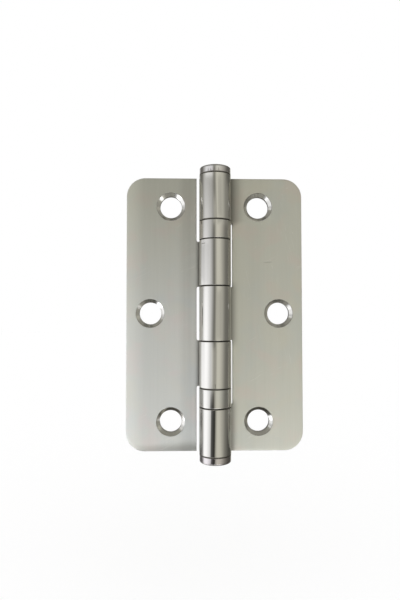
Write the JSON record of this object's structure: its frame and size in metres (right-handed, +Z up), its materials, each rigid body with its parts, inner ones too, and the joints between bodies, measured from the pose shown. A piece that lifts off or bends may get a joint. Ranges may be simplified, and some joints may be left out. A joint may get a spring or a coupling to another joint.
{
  "type": "radius corner butt hinge",
  "caption": "Ball bearing butt hinge with rounded leaf corners, rolled knuckles on a capped pin and staggered countersunk screw holes.",
  "frame": {"origin": "on the pin's axis at mid height, which is also the middle of the hinge opened flat", "axes": "+Z up the pin, +X towards the right leaf, -Y out of the countersunk front faces"},
  "size_m": [0.066, 0.0116, 0.1076],
  "materials": {
    "leaf_stainless": "satin brushed along the pin",
    "polished_stainless": "polished",
    "bearing_steel": "ground and polished",
    "cage_brass": "as stamped"
  },
  "bodies": {
    "right_leaf_body": {"right_leaf": "leaf_stainless", "hinge_pin": "polished_stainless", "top_cap": "polished_stainless", "bottom_cap": "polished_stainless", "upper_bearing_top_race": "bearing_steel", "lower_bearing_bottom_race": "bearing_steel"},
    "left_leaf_body": {"left_leaf": "leaf_stainless", "upper_bearing_shell": "polished_stainless", "upper_bearing_bottom_race": "bearing_steel", "lower_bearing_shell": "polished_stainless", "lower_bearing_top_race": "bearing_steel"},
    "upper_ball_ring": {"upper_bearing_cage": "cage_brass", "upper_bearing_ball_01": "bearing_steel", "upper_bearing_ball_02": "bearing_steel", "upper_bearing_ball_03": "bearing_steel", "upper_bearing_ball_04": "bearing_steel", "upper_bearing_ball_05": "bearing_steel", "upper_bearing_ball_06": "bearing_steel", "upper_bearing_ball_07": "bearing_steel", "upper_bearing_ball_08": "bearing_steel", "upper_bearing_ball_09": "bearing_steel", "upper_bearing_ball_10": "bearing_steel"},
    "lower_ball_ring": {"lower_bearing_cage": "cage_brass", "lower_bearing_ball_01": "bearing_steel", "lower_bearing_ball_02": "bearing_steel", "lower_bearing_ball_03": "bearing_steel", "lower_bearing_ball_04": "bearing_steel", "lower_bearing_ball_05": "bearing_steel", "lower_bearing_ball_06": "bearing_steel", "lower_bearing_ball_07": "bearing_steel", "lower_bearing_ball_08": "bearing_steel", "lower_bearing_ball_09": "bearing_steel", "lower_bearing_ball_10": "bearing_steel"}
  },
  "joints": [
    {"name": "leaf_swing", "type": "hinge", "parent": "right_leaf_body", "child": "left_leaf_body", "pos_m": [0, 0, 0], "axis": [0, 0, 1], "range_deg": [-90, 180]},
    {"name": "upper_ball_orbit", "type": "hinge", "parent": "right_leaf_body", "child": "upper_ball_ring", "pos_m": [0, 0, 0.0305], "axis": [0, 0, 1], "range_deg": [-45, 90]},
    {"name": "lower_ball_orbit", "type": "hinge", "parent": "right_leaf_body", "child": "lower_ball_ring", "pos_m": [0, 0, -0.0305], "axis": [0, 0, 1], "range_deg": [-45, 90]}
  ],
  "couplings": [
    {"joint": "upper_ball_orbit", "follows": "leaf_swing", "ratio": 0.5},
    {"joint": "lower_ball_orbit", "follows": "leaf_swing", "ratio": 0.5}
  ]
}
